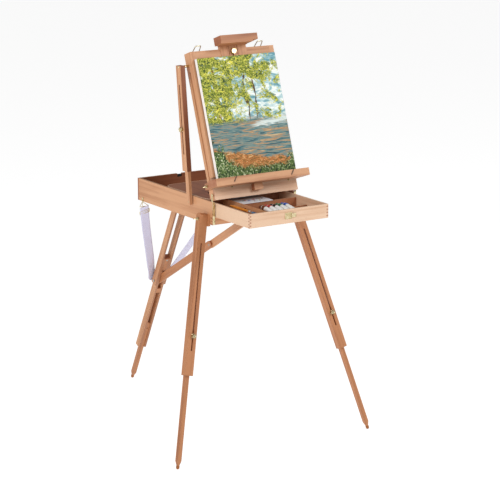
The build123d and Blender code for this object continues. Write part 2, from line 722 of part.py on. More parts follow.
def rear_leg():
    half = rear_half
    gap = half - rear_rail
    crown = 14.0
    with BuildPart(rear_frame) as rails:
        for side in (-1, 1):
            xs = sorted((side * half, side * gap))
            slab((xs[0], -rear_depth / 2, -rear_length), (xs[1], rear_depth / 2, -rear_block_start))
            xs = sorted((side * fork_half, side * half))
            slab((xs[0], -rear_depth / 2, -fork_end), (xs[1], rear_depth / 2, crown))
        tops = rails.edges().filter_by(Axis(rear_frame.origin, rear_frame.x_dir))
        fillet(tops.group_by(Axis((0, 0, 0), rear_frame.z_dir))[-1], crown - 1)
        for z in (0, -strut_on_leg):
            rod((0, 0, z), "x", bolt_radius + fit_gap, 2 * fork_half + 4, Mode.SUBTRACT)
    keep("rear_leg_rails", rails.part)

    web_front = rear_depth / 2 - rear_web
    with BuildPart(rear_frame) as core:
        slab((-gap, -rear_depth / 2, -rear_block_end), (gap, rear_depth / 2, -rear_block_start))
        slab((-gap, web_front, -rear_length), (gap, rear_depth / 2, -rear_web_start))
        slab((-gap, -rear_depth / 2, -rear_channel_start), (gap, web_front, -rear_bridge_start))
        slab(
            (-leg_slot_width / 2, web_front, -rear_length + 50),
            (leg_slot_width / 2, rear_depth / 2, -rear_channel_start),
            Mode.SUBTRACT,
        )
    keep("rear_leg_core", core.part)

    back = web_front - 0.3 - inner_leg / 2
    reach = foot_reach(rear_frame, back)
    inner_leg_piece(rear_frame, "inner_leg_rear", back, -reach, -rear_knob_at + 28, -rear_knob_at)
    knob(rear_frame, (0, rear_depth / 2, -rear_knob_at), "leg_knob_rear", rear_web + 14, 8.5, facing=1)

    with BuildPart(rear_frame) as bolt:
        rod((0, 0, -strut_on_leg), "x", bolt_radius, 2 * fork_half + 1)
        for side in (-1, 1):
            rod((side * (fork_half + 1.5), 0, -strut_on_leg), "x", 5.5, 3)
    keep("strut_bolt", bolt.part)


def strut_bar(name, x, low, high, holes):
    """A flat bar with round ends between two heights of the strut's frame."""
    span = high - low
    middle = Plane(
        strut_frame.origin + strut_frame.z_dir * (low + high) / 2 + strut_frame.x_dir * x,
        x_dir=strut_frame.z_dir,
        z_dir=strut_frame.x_dir,
    )
    with BuildPart() as bar:
        with BuildSketch(middle):
            SlotCenterToCenter(span, strut_width)
            with Locations(*[(z - (low + high) / 2, 0) for z, _ in holes]):
                Circle(holes[0][1], mode=Mode.SUBTRACT)
        extrude(amount=strut_thickness / 2, both=True)
    keep(name, bar.part)


def strut():
    knuckle = -strut_upper
    lower_x = -strut_thickness / 2 - 0.2
    upper_x = strut_thickness / 2 + 0.2
    strut_bar("strut_upper_bar", upper_x, knuckle, 0, [(0, bolt_radius + fit_gap)])
    strut_bar("strut_lower_bar", lower_x, -strut_length, knuckle, [(-strut_length, bolt_radius + fit_gap)])


# ---- strap and handle ---------------------------------------------------------------------------
def strap_and_handle():
    with BuildPart(box_frame) as handle:
        for side in (-1, 1):
            rod((side * handle_half, box_length + 8, handle_level), "x", 4.5, 9)
            rod((side * handle_half, box_length + 8, handle_level - 14), "z", 3.6, 28)
        rod((0, box_length + 8, handle_level - 26), "x", 5, 2 * handle_half)
        rod((0, box_length + 8, handle_level), "x", 2.4 + fit_gap, 3 * handle_half, Mode.SUBTRACT)
    keep("carry_handle", handle.part)

    behind = rear_frame.origin - rear_up * strut_on_leg + rear_frame.y_dir * (rear_depth / 2 + 7)
    corners = [
        strap_hook + Vector(8, 0, -14),
        behind - Vector(fork_half + 24, 0, 0),
        behind + Vector(fork_half + 24, 0, 0),
        Vector(48, strut_foot_back + 270, box_level - 3),
    ]
    with BuildPart() as strap:
        for start, end in zip(corners, corners[1:]):
            along = (end - start).normalized()
            across = rear_up if abs(along.X) > 0.9 else Vector(1, 0, 0)
            across = (across - along * across.dot(along)).normalized()
            with Locations(Location(Plane((start + end) / 2, x_dir=across, z_dir=along))):
                Box(strap_width, 1.4, (end - start).length)
    keep("strap", strap.part)


def export_all():
    """Centres the whole easel on the origin and writes one file for each piece."""
    boxes = [piece.bounding_box() for piece in pieces.values()]
    middle_x = (min(b.min.X for b in boxes) + max(b.max.X for b in boxes)) / 2
    middle_y = (min(b.min.Y for b in boxes) + max(b.max.Y for b in boxes)) / 2
    move = Location((-middle_x, -middle_y, -min(b.min.Z for b in boxes)))
    os.makedirs("parts", exist_ok=True)
    for name, piece in pieces.items():
        placed = piece.moved(move)
        placed.label = name
        export_step(placed, f"parts/{name}.step")
    return move


box_walls()
box_inside()
box_brass()
drawer_walls()
hasp()
drawer_contents()
lid_rails()
lid_boards()
pull_block()
mast()
latch_bails()
tray()
canvas()
brace()
front_legs()
leg_mounts()
rear_leg()
strut()
strap_and_handle()
shift = export_all()
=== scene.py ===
"""Field easel in oiled beech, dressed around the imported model: a sketch box on telescoping legs, with an
open drawer, a canvas on its ledge, brass fittings and a webbing strap."""

import json
import math
import random

import bmesh
import bpy
from mathutils import Matrix, Vector


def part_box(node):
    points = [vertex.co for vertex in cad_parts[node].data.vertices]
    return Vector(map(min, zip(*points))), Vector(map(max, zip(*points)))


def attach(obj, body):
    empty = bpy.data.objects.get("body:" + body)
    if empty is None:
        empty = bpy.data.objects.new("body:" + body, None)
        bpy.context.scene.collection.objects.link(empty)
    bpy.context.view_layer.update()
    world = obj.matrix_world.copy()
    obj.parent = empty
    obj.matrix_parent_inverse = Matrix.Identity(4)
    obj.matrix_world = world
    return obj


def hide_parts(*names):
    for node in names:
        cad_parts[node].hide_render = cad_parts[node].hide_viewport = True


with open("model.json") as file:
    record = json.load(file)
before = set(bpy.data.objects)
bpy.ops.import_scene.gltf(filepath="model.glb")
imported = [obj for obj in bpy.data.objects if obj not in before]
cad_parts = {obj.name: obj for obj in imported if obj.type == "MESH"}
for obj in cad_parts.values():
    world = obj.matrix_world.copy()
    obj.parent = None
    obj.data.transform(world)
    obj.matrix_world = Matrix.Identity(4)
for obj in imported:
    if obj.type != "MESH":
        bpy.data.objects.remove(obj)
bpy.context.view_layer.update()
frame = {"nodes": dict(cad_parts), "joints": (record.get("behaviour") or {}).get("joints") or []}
joints = {joint["name"]: joint for joint in frame["joints"]}
MM = 0.001


# ---- Studio --------------------------------------------------------------------------------------
# A white sweep of paper, a large soft lamp high in front on the right, a weaker one on the left and a
# bright room all round, which is how such an object is lit for a catalogue.
def hex_colour(code, alpha=1.0):
    """An sRGB hex colour as the linear colour that Blender mixes."""
    parts = [int(code[i : i + 2], 16) / 255 for i in (1, 3, 5)]
    return [c / 12.92 if c <= 0.04045 else ((c + 0.055) / 1.055) ** 2.4 for c in parts] + [alpha]


def add(tree, kind, sockets=None, stops=(), **settings):
    """Adds a node with its settings and colour stops, and fills its sockets with values or links."""
    node = tree.nodes.new(kind)
    for name, value in settings.items():
        setattr(node, name, value)
    for name, value in (sockets or {}).items():
        if isinstance(value, bpy.types.NodeSocket):
            tree.links.new(value, node.inputs[name])
        else:
            node.inputs[name].default_value = value
    for count, (position, colour) in enumerate(stops):
        bits = node.color_ramp.elements
        bit = bits[count] if count < len(bits) else bits.new(position)
        bit.position, bit.color = position, hex_colour(colour)
    return node


def new_material(name):
    """An empty material with its shader and output, and its node tree."""
    material = bpy.data.materials.new(name)
    material.use_nodes = True
    tree = material.node_tree
    tree.nodes.clear()
    shader = add(tree, "ShaderNodeBsdfPrincipled")
    add(tree, "ShaderNodeOutputMaterial", {"Surface": shader.outputs[0]})
    return material, tree, shader


view_azimuth, view_elevation = math.radians(-32.905), math.radians(13.285)
view_distance, focal_length = 7.744, 142.54
look_at = Vector((0.101, -0.1746, 0.701))
towards = Vector((
    -math.sin(view_azimuth) * math.cos(view_elevation),
    math.cos(view_azimuth) * math.cos(view_elevation),
    -math.sin(view_elevation),
))
camera = bpy.data.objects.new("camera", bpy.data.cameras.new("camera"))
camera.data.lens = focal_length
camera.data.clip_end = 200
camera.location = look_at - towards * view_distance
camera.rotation_euler = towards.to_track_quat("-Z", "Y").to_euler()
bpy.context.scene.collection.objects.link(camera)
bpy.context.scene.camera = camera
bpy.context.scene.view_settings.view_transform = "Standard"

floor_mesh = bpy.data.meshes.new("floor")
reach = 60
corners = [(-reach, -reach, 0), (reach, -reach, 0), (reach, reach, 0), (-reach, reach, 0)]
floor_mesh.from_pydata(corners, [], [(0, 1, 2, 3)])
floor = bpy.data.objects.new("floor", floor_mesh)
bpy.context.scene.collection.objects.link(floor)
paper, tree, shader = new_material("studio paper")
shader.inputs["Base Color"].default_value = hex_colour("#C4C4C4")
shader.inputs["Roughness"].default_value = 0.9
shader.inputs["Specular IOR Level"].default_value = 0.1
shader.inputs["Emission Color"].default_value = hex_colour("#FFFFFF")
shader.inputs["Emission Strength"].default_value = 0.74
floor_mesh.materials.append(paper)

world = bpy.data.worlds.new("studio")
world.use_nodes = True
seen = add(world.node_tree, "ShaderNodeLightPath").outputs["Is Camera Ray"]
glow = add(world.node_tree, "ShaderNodeMapRange", {"Value": seen, "To Min": 0.36, "To Max": 1.0})
backdrop = world.node_tree.nodes["Background"]
backdrop.inputs["Color"].default_value = hex_colour("#FFFFFF")
world.node_tree.links.new(glow.outputs[0], backdrop.inputs["Strength"])
bpy.context.scene.world = world
for name, place, power, size in (
    ("key light", (2.9, -4.9, 4.6), 185, 2.0),
    ("side light", (-5.4, -2.0, 3.0), 165, 2.6),
):
    light = bpy.data.lights.new(name, "AREA")
    light.energy, light.size = power, size
    lamp = bpy.data.objects.new(name, light)
    lamp.location = place
    lamp.rotation_euler = (look_at - lamp.location).to_track_quat("-Z", "Y").to_euler()
    bpy.context.scene.collection.objects.link(lamp)


# ---- Beech boards --------------------------------------------------------------------------------
# Steamed beech, planed and oiled: a soft pinkish tan, faint growth bands, and the short dark ray
# flecks that mark beech. Each board's grain runs along its length, and its sawn ends drink more oil.
ACROSS = Vector((1, 0, 0))
lid_up = Vector(joints["mast_slide"]["axis"])
lid_back = lid_up.cross(ACROSS)


def beech(name, along, light, dark, offset, gloss=0.42, painted_shade=None):
    """Beech with its grain along one direction; the last argument is a way, and how much darker faces turned
    that way are painted as shade.
    """
    material, tree, shader = new_material(name)
    coords = add(tree, "ShaderNodeTexCoord")
    turn = Vector((0, 0, 1)).rotation_difference(along).to_euler()
    noises = {}
    # growth bands, fibres and ray flecks: how wide each is across the grain and how long along it
    for what, width, length, detail in (
        ("bands", 14, 420, 3.0), ("fibre", 1.1, 60, 4.0), ("flecks", 0.9, 7, 1.0), ("patch", 70, 260, 2.0),
    ):
        node = add(tree, "ShaderNodeMapping", {"Vector": coords.outputs["Object"]}, vector_type="TEXTURE")
        node.inputs["Location"].default_value = (offset, offset * 0.37, offset * 0.71)
        node.inputs["Rotation"].default_value = turn
        node.inputs["Scale"].default_value = (width * MM, width * MM, length * MM)
        noise = add(tree, "ShaderNodeTexNoise", {"Vector": node.outputs[0], "Scale": 1.0, "Detail": detail})
        noises[what] = noise.outputs["Fac"]
    tone = add(tree, "ShaderNodeMath", {0: noises["bands"], 1: 0.5}, operation="MULTIPLY").outputs[0]
    tone = add(tree, "ShaderNodeMath", {0: noises["fibre"], 1: 0.24, 2: tone}, operation="MULTIPLY_ADD")
    tone = add(
        tree, "ShaderNodeMath", {0: noises["patch"], 1: 0.26, 2: tone.outputs[0]}, operation="MULTIPLY_ADD"
    )
    colour = add(
        tree, "ShaderNodeValToRGB", {"Fac": tone.outputs[0]}, [(0.34, dark), (0.52, light), (0.72, light)]
    )
    fleck = add(
        tree, "ShaderNodeMapRange",
        {"Value": noises["flecks"], "From Min": 0.6, "From Max": 0.74, "To Max": 0.26},
    )
    colour = add(
        tree, "ShaderNodeMix",
        {0: fleck.outputs[0], 6: colour.outputs[0], 7: hex_colour("#8A5233")}, data_type="RGBA",
    )
    # sawn ends, found by the face's direction, are darker and redder than the sides
    facing = add(
        tree, "ShaderNodeVectorMath", {0: coords.outputs["Normal"], 1: along}, operation="DOT_PRODUCT"
    )
    end = add(tree, "ShaderNodeMath", {0: facing.outputs["Value"]}, operation="ABSOLUTE")
    end = add(
        tree, "ShaderNodeMapRange",
        {"Value": end.outputs[0], "From Min": 0.7, "From Max": 0.9, "To Max": 0.62},
    )
    colour = add(
        tree, "ShaderNodeMix",
        {0: end.outputs[0], 6: colour.outputs[2], 7: hex_colour("#8E4A2C")}, data_type="RGBA",
    )
    # painted shade: faces turned the given way are darkened towards a deep red-brown, for shade that falls on
    # them
    if painted_shade:
        way, shade_amount = painted_shade
        shade_mask = add(
            tree, "ShaderNodeVectorMath", {0: coords.outputs["Normal"], 1: way}, operation="DOT_PRODUCT"
        )
        shade_mask = add(
            tree, "ShaderNodeMapRange",
            {"Value": shade_mask.outputs["Value"], "From Min": 0.6, "From Max": 0.8, "To Max": shade_amount},
        )
        colour = add(
            tree, "ShaderNodeMix",
            {0: shade_mask.outputs[0], 6: colour.outputs[2], 7: hex_colour("#743A22")}, data_type="RGBA",
        )
    tree.links.new(colour.outputs[2], shader.inputs["Base Color"])
    rough = add(
        tree, "ShaderNodeMapRange", {"Value": noises["fibre"], "To Min": gloss, "To Max": gloss + 0.2}
    )
    tree.links.new(rough.outputs[0], shader.inputs["Roughness"])
    bump = add(tree, "ShaderNodeBump", {"Height": noises["fibre"], "Strength": 0.15, "Distance": 0.3 * MM})
    tree.links.new(bump.outputs[0], shader.inputs["Normal"])
    return material


pale, body, warm = ("#DEBB9D", "#CBA07E"), ("#CD986F", "#AE744C"), ("#B67A50", "#925835")
# painted shade: the inner tone, for the floor, fillets and palette inside the box, is darkened for the shade
# there
inner = ("#A5643F", "#7A4026")
board_tones = {
    "box_left_wall": body, "box_right_wall": body, "box_rear_wall": warm, "box_front_rail": body,
    "box_fillets": inner, "leg_wedges": warm, "drawer_front": pale, "drawer_sides": pale,
    "drawer_dividers": body, "lid_rails": body, "lid_top_rail": body, "lid_lower_panel": pale,
    "pull_block": body, "mast": body, "mast_head": warm, "tray": body, "brace_channel_left": body,
    "brace_stick_left": body,
    "front_leg_left": warm, "front_leg_right": warm, "inner_leg_left": warm, "inner_leg_right": warm,
    "inner_leg_rear": warm, "rear_leg_rails": body, "rear_leg_core": warm, "strut_upper_bar": body,
    "strut_lower_bar": warm, "box_floor": inner, "palette": inner, "lid_back_panel": body,
    "drawer_bottom": body,
}
leg_ways = {word: Vector(joints[f"leg_{word}_slide"]["axis"]) for word in ("left", "right")}
rear_way = Vector(joints["rear_leg_slide"]["axis"])
grain_ways = {
    "box_front_rail": ACROSS, "box_rear_wall": ACROSS, "drawer_front": ACROSS, "lid_top_rail": ACROSS,
    "mast_head": ACROSS, "lid_lower_panel": ACROSS, "tray": ACROSS, "drawer_bottom": ACROSS,
    "pull_block": ACROSS, "lid_rails": lid_up, "mast": lid_up, "lid_back_panel": lid_up,
    "leg_wedges": Vector((0, 0, 1)), "rear_leg_rails": rear_way, "rear_leg_core": rear_way,
    "inner_leg_rear": rear_way,
}
for word in ("left", "right"):
    grain_ways |= {f"front_leg_{word}": leg_ways[word], f"inner_leg_{word}": leg_ways[word]}
brace_way = Vector(joints["brace_left_slide"]["axis"])
grain_ways |= {"brace_channel_left": brace_way, "brace_stick_left": brace_way}
lower_end, upper_end = (Vector(joints[f"strut_{bar}_swing"]["pos_m"]) for bar in ("lower", "upper"))
for bar in ("strut_upper_bar", "strut_lower_bar"):
    grain_ways[bar] = (upper_end - lower_end).normalized()
# painted shade: inner faces of the box's walls and front faces of brace, rails and mast head are darker
painted_shade_faces = {
    "brace_channel_left": ((0, -1, 0), 0.85),
    "rear_leg_rails": ((0, -1, 0), 0.5), "box_left_wall": ((1, 0, 0), 0.7),
    "box_right_wall": ((-1, 0, 0), 0.7),
    "box_rear_wall": ((0, -1, 0), 0.72), "mast_head": ((0, -1, 0), 0.16),
}
for count, (node, (light, dark)) in enumerate(board_tones.items()):
    along = grain_ways.get(node, Vector((0, 1, 0)))
    board = frame["nodes"][node]
    board.data.materials.clear()
    wood = beech(f"beech {node}", along, light, dark, 0.37 * count, painted_shade=painted_shade_faces.get(node))
    board.data.materials.append(wood)


# ---- Brass and steel -----------------------------------------------------------------------------
# Stamped and turned brass, lacquered and slightly dulled by handling, and zinc-plated steel. The
# straps, brackets and hasp keep the shapes that they have in the model.
def metal(name, colour, worn, rough, grit):
    """A metal with faint handling marks of one size."""
    material, tree, shader = new_material(name)
    place = add(tree, "ShaderNodeTexCoord").outputs["Object"]
    marks = add(tree, "ShaderNodeTexNoise", {"Vector": place, "Scale": 1 / grit, "Detail": 4.0})
    marks = marks.outputs["Fac"]
    tint = add(tree, "ShaderNodeValToRGB", {"Fac": marks}, [(0.35, worn), (0.62, colour)])
    tree.links.new(tint.outputs[0], shader.inputs["Base Color"])
    shader.inputs["Metallic"].default_value = 1.0
    span = add(tree, "ShaderNodeMapRange", {"Value": marks, "To Min": rough - 0.08, "To Max": rough + 0.12})
    tree.links.new(span.outputs[0], shader.inputs["Roughness"])
    bump = add(tree, "ShaderNodeBump", {"Height": marks, "Strength": 0.08, "Distance": 0.1 * MM})
    tree.links.new(bump.outputs[0], shader.inputs["Normal"])
    return material


brass = metal("lacquered brass", "#DCCDA6", "#BCA97C", 0.26, 9 * MM)
steel = metal("zinc-plated steel", "#C9C6BE", "#8E8A82", 0.36, 5 * MM)
for node in ("box_brass", "hasp_plate", "hasp_leaf"):
    frame["nodes"][node].data.materials.clear()
    frame["nodes"][node].data.materials.append(brass)
for node in ("underside_brackets", "strut_bolt"):
    frame["nodes"][node].data.materials.clear()
    frame["nodes"][node].data.materials.append(steel)


# ---- Turned thumb knobs --------------------------------------------------------------------------
# Five small brass knobs with a coarse straight knurl clamp the mast, the brace and the inner legs.
# Each is turned from bar in one piece with its stud and stands on a thin washer.
def axes(origin, z_way, x_way):
    """A frame in millimetres whose z runs one way and whose x leans as near as it can to another."""
    z_way = z_way.normalized()
    y_way = z_way.cross(x_way).normalized()
    x_way = y_way.cross(z_way)
    rows = [[v[i] * MM for v in (x_way, y_way, z_way)] + [origin[i]] for i in range(3)]
    return Matrix(rows + [[0, 0, 0, 1]])


def lathe(bm, profile, sides=32, squash=(1, 1), knurl=()):
    """Turns a list of (radius, height) about z; knurl names the rows whose radius is cut with teeth."""
    rows = []
    for row, (radius, height) in enumerate(profile):
        ring = []
        for i in range(sides):
            r = radius * (0.93 if row in knurl and i % 2 else 1.0)
            turn = 2 * math.pi * i / sides
            x, y = r * math.cos(turn) * squash[0], r * math.sin(turn) * squash[1]
            ring.append(bm.verts.new((x, y, height)))
        rows.append(ring)
    for low, high in zip(rows, rows[1:]):
        for i in range(sides):
            bm.faces.new((low[i], low[(i + 1) % sides], high[(i + 1) % sides], high[i]))
    bm.faces.new(rows[0][::-1])
    bm.faces.new(rows[-1])


def make(name, bm, place, material, body, smooth=True, slot=None, stands_for=()):
    """Puts a mesh made in millimetres where its frame says, and rides it on a body."""
    bm.transform(place)
    bmesh.ops.recalc_face_normals(bm, faces=bm.faces)
    mesh = bpy.data.meshes.new(name)
    bm.to_mesh(mesh)
    bm.free()
    mesh.materials.append(material)
    if smooth:
        mesh.set_sharp_from_angle(angle=math.radians(38))
        for face in mesh.polygons:
            face.use_smooth = True
    made = bpy.data.objects.new(name, mesh)
    bpy.context.scene.collection.objects.link(made)
    if stands_for:
        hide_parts(*stands_for)
    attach(made, body)
    return made


knob_faces = [("mast_knob", "mast_knob", "mast_knob_turn", -lid_back, 24.0, 11)]
brace_out = -Vector(joints["brace_left_knob_turn"]["axis"])
knob_faces.append(("brace_knob_left", "brace_knob_left", "brace_left_knob_turn", brace_out, 19.5, 9))
for word in ("left", "right"):
    way = -Vector(joints[f"leg_{word}_knob_turn"]["axis"])
    knob_faces.append((f"leg_knob_{word}", f"knob_{word}", f"leg_{word}_knob_turn", way, 14.0, 8.5))
rear_out = Vector(joints["rear_knob_turn"]["axis"])
knob_faces.append(("leg_knob_rear", "knob_rear", "rear_knob_turn", rear_out, 15.0, 8.5))
for node, body_name, joint, way, face, radius in knob_faces:
    bm = bmesh.new()
    lathe(bm, [(radius * 0.95, 0.1), (radius * 0.95, 0.9), (radius * 0.9, 1.1)])
    lathe(
        bm,
        [(radius * 0.45, 1.1), (radius * 0.5, 3.4), (radius * 0.9, 4.2), (radius, 5.0), (radius, 10.4),
         (radius * 0.9, 11.4), (radius * 0.62, 11.6), (radius * 0.55, 10.9)],
        sides=40, knurl=(3, 4),
    )
    lathe(bm, [(2.9, -face - 4 if node == "mast_knob" else -20), (2.9, 1.2)], sides=16)
    centre = Vector(joints[joint]["pos_m"]) + way.normalized() * face * MM
    make(f"{node}_turned", bm, axes(centre, way, Vector((0.3, 0, 1))), brass, body_name,
         slot="brass", stands_for=(node,))


# ---- Wing nuts and wing screws -------------------------------------------------------------------
# Cast brass wings: a round hub with two rounded ears that flare away from the wood. Two clamp the
# tray to the lid's rails, and two carry the front legs.
def wing(bm, span, rise, thick):
    """Two ears about a hub, in the x-z plane."""
    outline = [
        (3.2, 0.8), (5.2, 1.0), (span * 0.62, rise * 0.42), (span * 0.92, rise * 0.62), (span, rise * 0.86),
        (span * 0.9, rise * 1.04), (span * 0.7, rise), (span * 0.48, rise * 0.78), (3.2, rise * 0.62),
    ]
    for side in (-1, 1):
        near = [bm.verts.new((side * x, -thick / 2, z)) for x, z in outline]
        far = [bm.verts.new((side * x, thick / 2, z)) for x, z in outline]
        bm.faces.new(near)
        bm.faces.new(far[::-1])
        for i in range(len(outline)):
            k = (i + 1) % len(outline)
            bm.faces.new((near[i], far[i], far[k], near[k]))


wings = []
for word, side in (("left", -1), ("right", 1)):
    out = ACROSS * side
    wings.append((f"tray_wing_nut_{word}", f"tray_nut_{word}", f"tray_nut_{word}_turn", out, 2.7, 13, 20))
    way = Vector(joints[f"leg_{word}_screw_turn"]["axis"]) * side
    wings.append((f"leg_wing_screw_{word}", f"leg_screw_{word}", f"leg_{word}_screw_turn", way, 17.4, 14, 24))
for node, body_name, joint, way, face, span, stud in wings:
    bm = bmesh.new()
    lathe(bm, [(6.6, 0.0), (6.6, 0.8), (5.4, 1.0), (5.0, 4.5), (3.8, 7.0), (2.6, 7.4)], sides=24)
    wing(bm, span, 11.5, 2.6)
    ears = [edge for edge in bm.edges if len(edge.link_faces) == 2 and edge.calc_face_angle(0) > 0.9]
    bmesh.ops.bevel(bm, geom=ears, offset=0.5, segments=2, affect="EDGES")
    lathe(bm, [(2.8, -stud), (2.8, 0.1)], sides=16)
    centre = Vector(joints[joint]["pos_m"]) + way.normalized() * face * MM
    make(f"{node}_cast", bm, axes(centre, way, Vector((0, 1, -0.35))), brass, body_name,
         slot="brass", stands_for=(node,))


# ---- Bent wires ----------------------------------------------------------------------------------
# Two brass latch bails on the lid's top, each bent from 3 mm wire and held by two staples, and two
# black wire hooks that bite over the front of the tray to grip the canvas.
def wire(bm, points, radius, round_off=5.0, closed=False):
    """A wire along a run of points, with its corners bent round, as mesh added to bm."""
    curve = bpy.data.curves.new("wire", "CURVE")
    curve.dimensions = "3D"
    curve.bevel_depth, curve.bevel_resolution, curve.use_fill_caps = radius, 3, True
    path = []
    count = len(points)
    for i, p in enumerate(Vector(p) for p in points):
        if not closed and i in (0, count - 1):
            path.append(p)
            continue
        before, after = Vector(points[i - 1]) - p, Vector(points[(i + 1) % count]) - p
        cut = min(round_off, before.length * 0.45, after.length * 0.45)
        start, end = p + before.normalized() * cut, p + after.normalized() * cut
        for t in (0, 0.25, 0.5, 0.75, 1):
            path.append(start * (1 - t) ** 2 + p * 2 * t * (1 - t) + end * t * t)
    spline = curve.splines.new("POLY")
    spline.points.add(len(path) - 1)
    for point, p in zip(spline.points, path):
        point.co = (*p, 1)
    spline.use_cyclic_u = closed
    holder = bpy.data.objects.new("wire", curve)
    bpy.context.scene.collection.objects.link(holder)
    bpy.context.view_layer.update()
    mesh = bpy.data.meshes.new_from_object(holder.evaluated_get(bpy.context.evaluated_depsgraph_get()))
    bm.from_mesh(mesh)
    bpy.data.objects.remove(holder)
    bpy.data.meshes.remove(mesh)


bail_lean = math.radians(57)
bail_way = lid_up * math.cos(bail_lean) - lid_back * math.sin(bail_lean)
lid_pivot = Vector(joints["lid_tilt"]["pos_m"])
lid = axes(lid_pivot, lid_up, ACROSS)
for word in ("left", "right"):
    eye = Vector(joints[f"latch_{word}_swing"]["pos_m"])
    bm = bmesh.new()
    wire(bm, [(-7, 0, 0), (-14.5, 0, 0), (-11.5, 0, 32), (11.5, 0, 32), (14.5, 0, 0), (7, 0, 0)], 1.7, 3.5)
    make(f"latch_bail_{word}_bent", bm, axes(eye, bail_way, ACROSS), brass, f"latch_{word}",
         slot="brass", stands_for=(f"latch_bail_{word}",))
    bm = bmesh.new()
    for x in (-10, 10):
        wire(bm, [(x, -3.2, -4), (x, -3.2, 2.6), (x, 3.2, 2.6), (x, 3.2, -4)], 0.8, 2.6)
    make(f"latch_staple_{word}", bm, axes(eye, lid_up, ACROSS), brass, "lid", slot="brass")

enamel, tree, shader = new_material("black enamelled wire")
speck = add(tree, "ShaderNodeTexCoord").outputs["Object"]
speck = add(tree, "ShaderNodeTexNoise", {"Vector": speck, "Scale": 1 / (2 * MM)})
tint = add(tree, "ShaderNodeValToRGB", {"Fac": speck.outputs["Fac"]}, [(0.3, "#15120F"), (0.7, "#2C2722")])
tree.links.new(tint.outputs[0], shader.inputs["Base Color"])
shader.inputs["Roughness"].default_value = 0.4
tray_low = 24.0
tray_front, tray_high = -78.0, tray_low + 28
bm = bmesh.new()
for x in (-118, 138):
    wire(
        bm,
        [(x - 13, tray_front - 1.6, tray_low + 9), (x - 2, tray_front - 1.8, tray_high - 3),
         (x + 2, tray_front + 2.5, tray_high + 0.9), (x + 12, tray_front + 24, tray_high + 0.9)],
        1.5, 4,
    )
make("tray_hooks_bent", bm, lid, enamel, "tray", slot="dark_wire", stands_for=("tray_hooks",))


# ---- Canvas --------------------------------------------------------------------------------------
# Primed cotton stretched over pine bars and stapled behind: the face carries a loosely brushed
# woodland pool, and the turned edges are left white.
canvas_height, canvas_gap = 456, 2.6
canvas_low = tray_high + canvas_gap
canvas_high = canvas_low + canvas_height
canvas_half, canvas_back, canvas_deep = 174.0, -24.5, 17.0
painting, tree, shader = new_material("primed cotton painted in oils")
turn = lid.to_3x3().normalized().to_euler()
corner = lid @ Vector((-canvas_half, canvas_back - canvas_deep, canvas_low))
face = add(
    tree, "ShaderNodeMapping", {"Vector": add(tree, "ShaderNodeTexCoord").outputs["Object"]},
    vector_type="TEXTURE",
)
face.inputs["Location"].default_value = corner
face.inputs["Rotation"].default_value = turn
spot = add(tree, "ShaderNodeSeparateXYZ", {0: face.outputs[0]})
across_face, into_face, up_face = spot.outputs["X"], spot.outputs["Y"], spot.outputs["Z"]


def strokes(width, height, seed, detail=3.0, warp=1.2):
    """Brushed noise on the canvas, of dabs this wide and this high in millimetres."""
    cell = add(tree, "ShaderNodeMapping", {"Vector": face.outputs[0]}, vector_type="TEXTURE")
    cell.inputs["Location"].default_value = (seed, 0, seed * 0.7)
    cell.inputs["Scale"].default_value = (width * MM, 20 * MM, height * MM)
    return add(
        tree, "ShaderNodeTexNoise",
        {"Vector": cell.outputs[0], "Scale": 1.0, "Detail": detail, "Distortion": warp, "Roughness": 0.62},
    ).outputs["Fac"]


def lay(under, over, low, high, start, *parts):
    """One paint laid on another where start and its weighted parts add up to more than low to high."""
    total = start
    for part, weight in parts:
        total = add(tree, "ShaderNodeMath", {0: part, 1: weight, 2: total}, operation="MULTIPLY_ADD")
        total = total.outputs[0]
    mask = add(
        tree, "ShaderNodeMapRange", {"Value": total, "From Min": low, "From Max": high},
        interpolation_type="SMOOTHSTEP",
    ).outputs[0]
    return add(tree, "ShaderNodeMix", {0: mask, 6: under, 7: over}, data_type="RGBA").outputs[2]


leaf = strokes(7, 5.5, 3.1, 4.0)
clump = strokes(70, 62, 8.4, 3.0)
# the paints, each a run of colours over its own dabs
palettes = {
    "sky": (strokes(60, 26, 1.7), [(0.36, "#5B93A0"), (0.47, "#A3C6CB"), (0.58, "#EDF3EC")]),
    "leaves": (leaf, [
        (0.36, "#1E2E10"), (0.44, "#475F14"), (0.5, "#7C8C1C"), (0.56, "#B4B431"), (0.66, "#E6DF80"),
    ]),
    "water": (strokes(80, 7, 5.5, 4.0), [
        (0.32, "#22434A"), (0.43, "#457178"), (0.51, "#7E9288"), (0.57, "#A8794E"), (0.68, "#C9B38A"),
    ]),
    "bank": (strokes(16, 6, 2.2, 4.0), [
        (0.34, "#3A451A"), (0.43, "#8A6428"), (0.51, "#B9682E"), (0.6, "#CE9A58"), (0.7, "#E4D0A4"),
    ]),
    "growth": (strokes(7, 9, 9.7, 4.0), [
        (0.36, "#101D0C"), (0.46, "#274517"), (0.55, "#62802A"), (0.66, "#DCE0BC"),
    ]),
}
paint = {
    word: add(tree, "ShaderNodeValToRGB", {"Fac": dabs}, run).outputs[0]
    for word, (dabs, run) in palettes.items()
}
colour = paint["sky"]
# trunks: upright warped stripes behind the leaves
sway = add(
    tree, "ShaderNodeMath", {0: strokes(50, 120, 6.3), 1: 0.05, 2: across_face}, operation="MULTIPLY_ADD"
).outputs[0]
sway_middle = 0.025
for middle, half, bark in ((0.055, 0.009, "#6A3220"), (0.185, 0.005, "#4C3822"), (0.222, 0.004, "#54422A")):
    gap = add(tree, "ShaderNodeMath", {0: sway, 1: middle + sway_middle}, operation="SUBTRACT").outputs[0]
    gap = add(tree, "ShaderNodeMath", {0: gap}, operation="ABSOLUTE").outputs[0]
    inside = add(tree, "ShaderNodeMapRange", {"Value": gap, "From Min": half, "From Max": half * 0.6})
    colour = add(
        tree, "ShaderNodeMix", {0: inside.outputs[0], 6: colour, 7: hex_colour(bark)}, data_type="RGBA"
    ).outputs[2]
